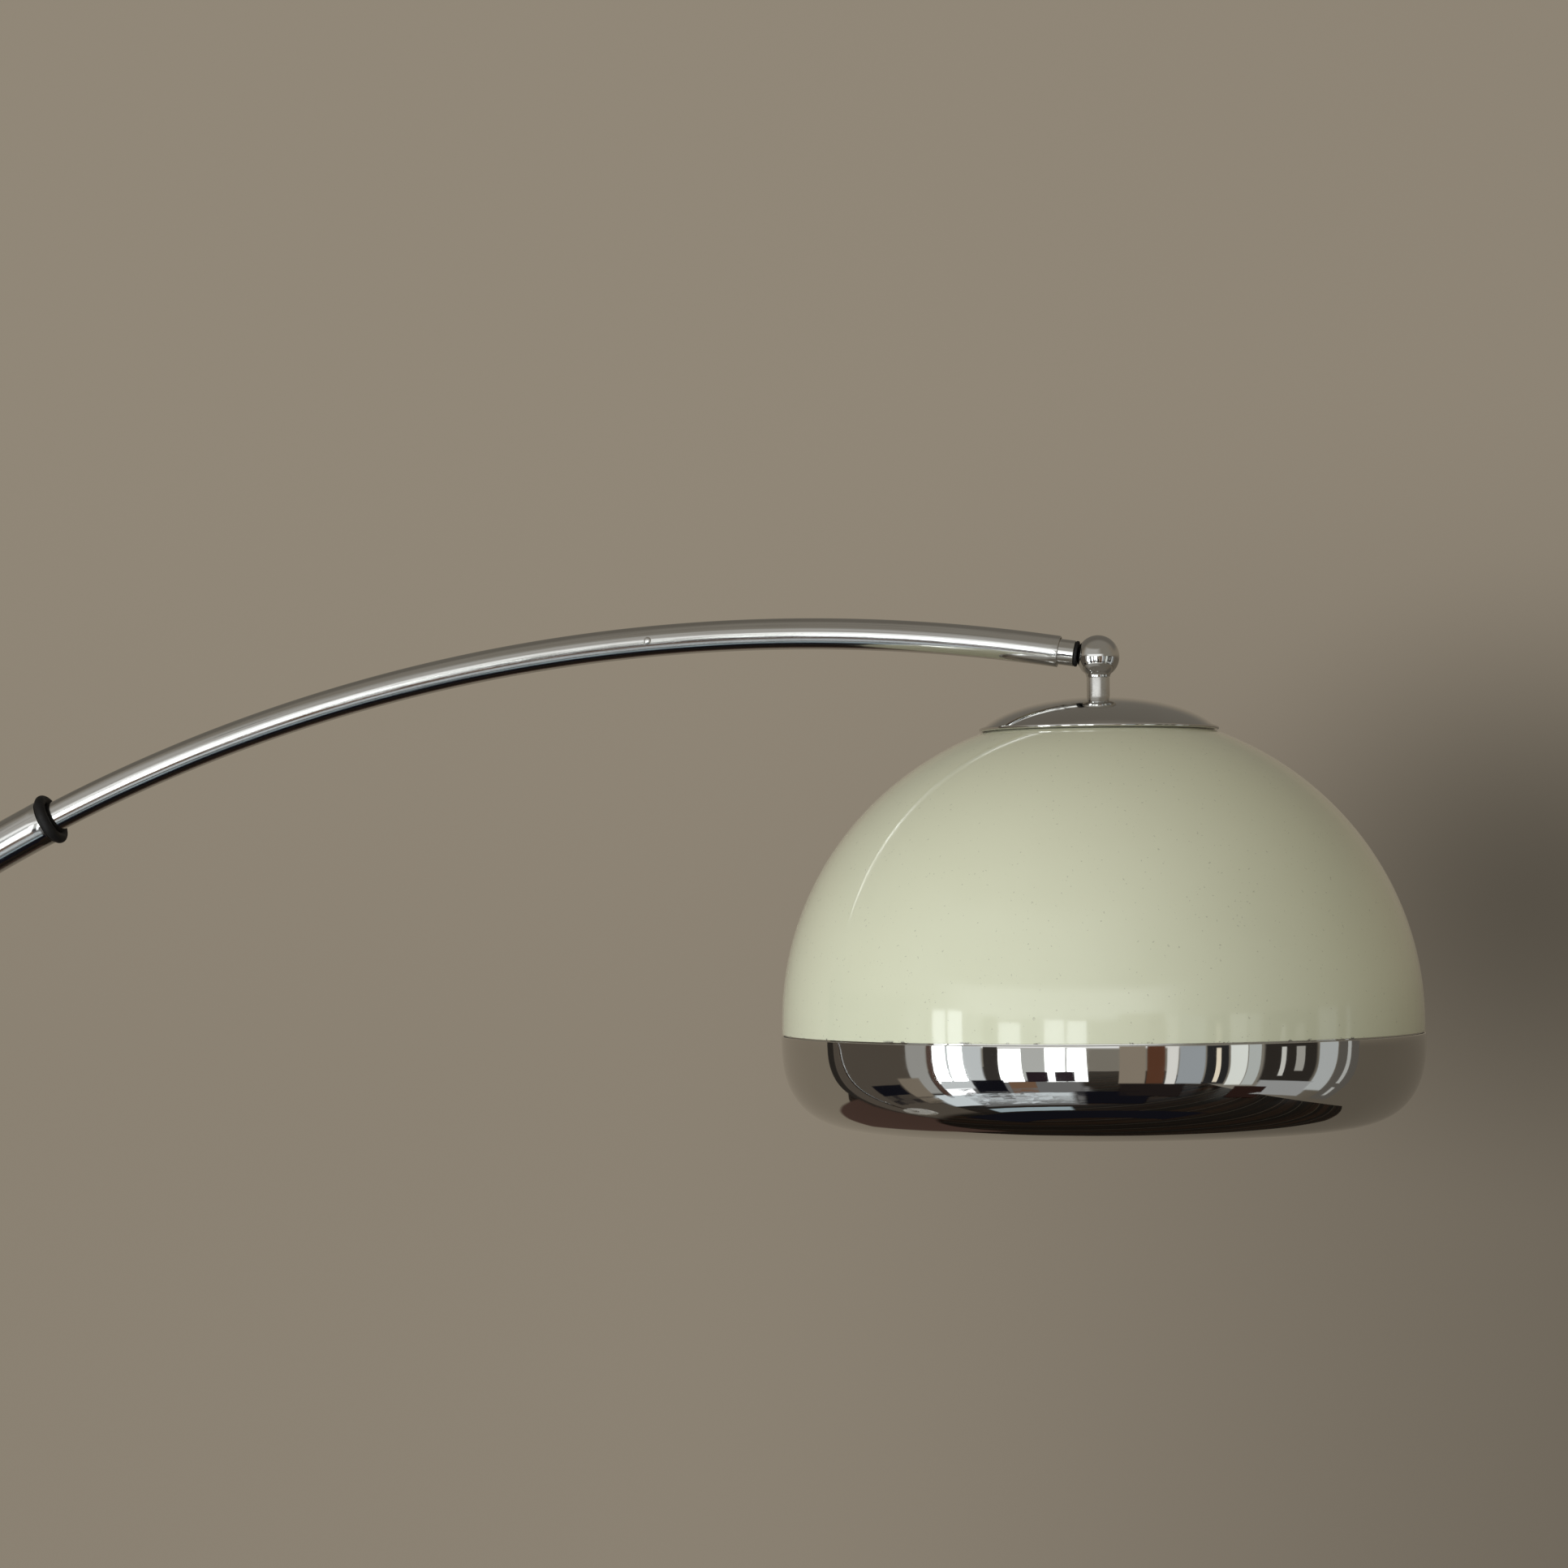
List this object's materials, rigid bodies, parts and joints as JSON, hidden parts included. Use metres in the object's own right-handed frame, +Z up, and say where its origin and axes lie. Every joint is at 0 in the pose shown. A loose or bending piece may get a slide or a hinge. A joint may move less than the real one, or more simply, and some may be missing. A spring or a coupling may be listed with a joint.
{
  "type": "arc floor lamp",
  "caption": "Arc floor lamp: round stone foot, turning post, telescoping chrome arc and a tilting cream dome shade with a deep chrome band.",
  "frame": {"origin": "middle of the foot's underside, on the floor", "axes": "+Z up, +X from the post towards the shade, the arc in the XZ plane"},
  "size_m": [1.7187, 0.4012, 1.8996],
  "materials": {
    "chrome": "polished chrome plate on steel tube and spun sheet",
    "steel": "plain turned and zinc-plated steel",
    "brass": "plain turned brass",
    "cream_enamel": "glossy greenish cream enamel",
    "marble": "honed white marble with faint grey veins",
    "felt": "dark felt",
    "rubber": "satin black rubber",
    "nylon": "natural nylon",
    "black_plastic": "black moulded plastic",
    "lead_sheath": "off-white flexible lead sheath",
    "opal_glass": "opal bulb glass"
  },
  "bodies": {
    "foot": {"felt_pad": "felt", "marble_foot": "marble", "foot_spindle": "steel", "clamp_washer": "steel", "spindle_nut": "steel", "inlet_bush": "black_plastic", "foot_lead": "lead_sheath", "foot_rose": "chrome", "thrust_washer": "nylon"},
    "post": {"post_tube": "chrome", "lower_post_bush": "nylon", "upper_post_bush": "nylon", "leg_guide": "nylon", "height_collar": "chrome"},
    "height_knob": {"clamp_screw": "steel", "screw_pad": "nylon", "height_knob": "black_plastic"},
    "lower_arc": {"lower_arc": "chrome", "leg_bush": "nylon", "mouth_bush": "nylon", "mouth_ring": "rubber", "lower_lead": "lead_sheath"},
    "upper_arc": {"upper_arc": "chrome", "arc_guide": "nylon", "stop_rivet": "chrome", "sleeve_screw": "steel", "upper_lead": "lead_sheath"},
    "swivel": {"end_sleeve": "chrome", "friction_seat": "rubber", "draw_bolt": "steel", "spring_washer": "steel", "draw_nut": "brass"},
    "shade": {"ball": "chrome", "stem": "chrome", "top_cap": "chrome", "crown_spacer": "nylon", "shade_dome": "cream_enamel", "chrome_band": "chrome", "crown_washer": "steel", "stem_nut": "brass", "holder_cover": "black_plastic", "holder_body": "black_plastic", "holder_ring": "black_plastic", "thread_sleeve": "brass", "centre_contact": "brass", "holder_lead": "lead_sheath", "bulb_cap": "brass", "bulb_glass": "opal_glass"}
  },
  "joints": [
    {"name": "post_turn", "type": "hinge", "parent": "foot", "child": "post", "pos_m": [0, 0, 0.12], "axis": [0, 0, 1], "range_deg": [-170, 170]},
    {"name": "height_slide", "type": "slide", "parent": "post", "child": "lower_arc", "axis": [0, 0, 1], "range_m": [-0.1, 0.195]},
    {"name": "knob_turn", "type": "hinge", "parent": "post", "child": "height_knob", "pos_m": [-0.04, 0, 0.6535], "axis": [-1, 0, 0], "range_deg": [0, 360]},
    {"name": "arm_slide", "type": "hinge", "parent": "lower_arc", "child": "upper_arc", "pos_m": [1.12, 0, 0.77], "axis": [0, 1, 0], "range_deg": [-21, 14.5]},
    {"name": "sleeve_turn", "type": "hinge", "parent": "upper_arc", "child": "swivel", "pos_m": [1.32515, 0, 1.87176], "axis": [0.9896, 0, -0.1442], "range_deg": [-45, 45]},
    {"name": "shade_tilt", "type": "hinge", "parent": "swivel", "child": "shade", "pos_m": [1.32515, 0, 1.87176], "axis": [0, 1, 0], "range_deg": [-40, 25]}
  ]
}
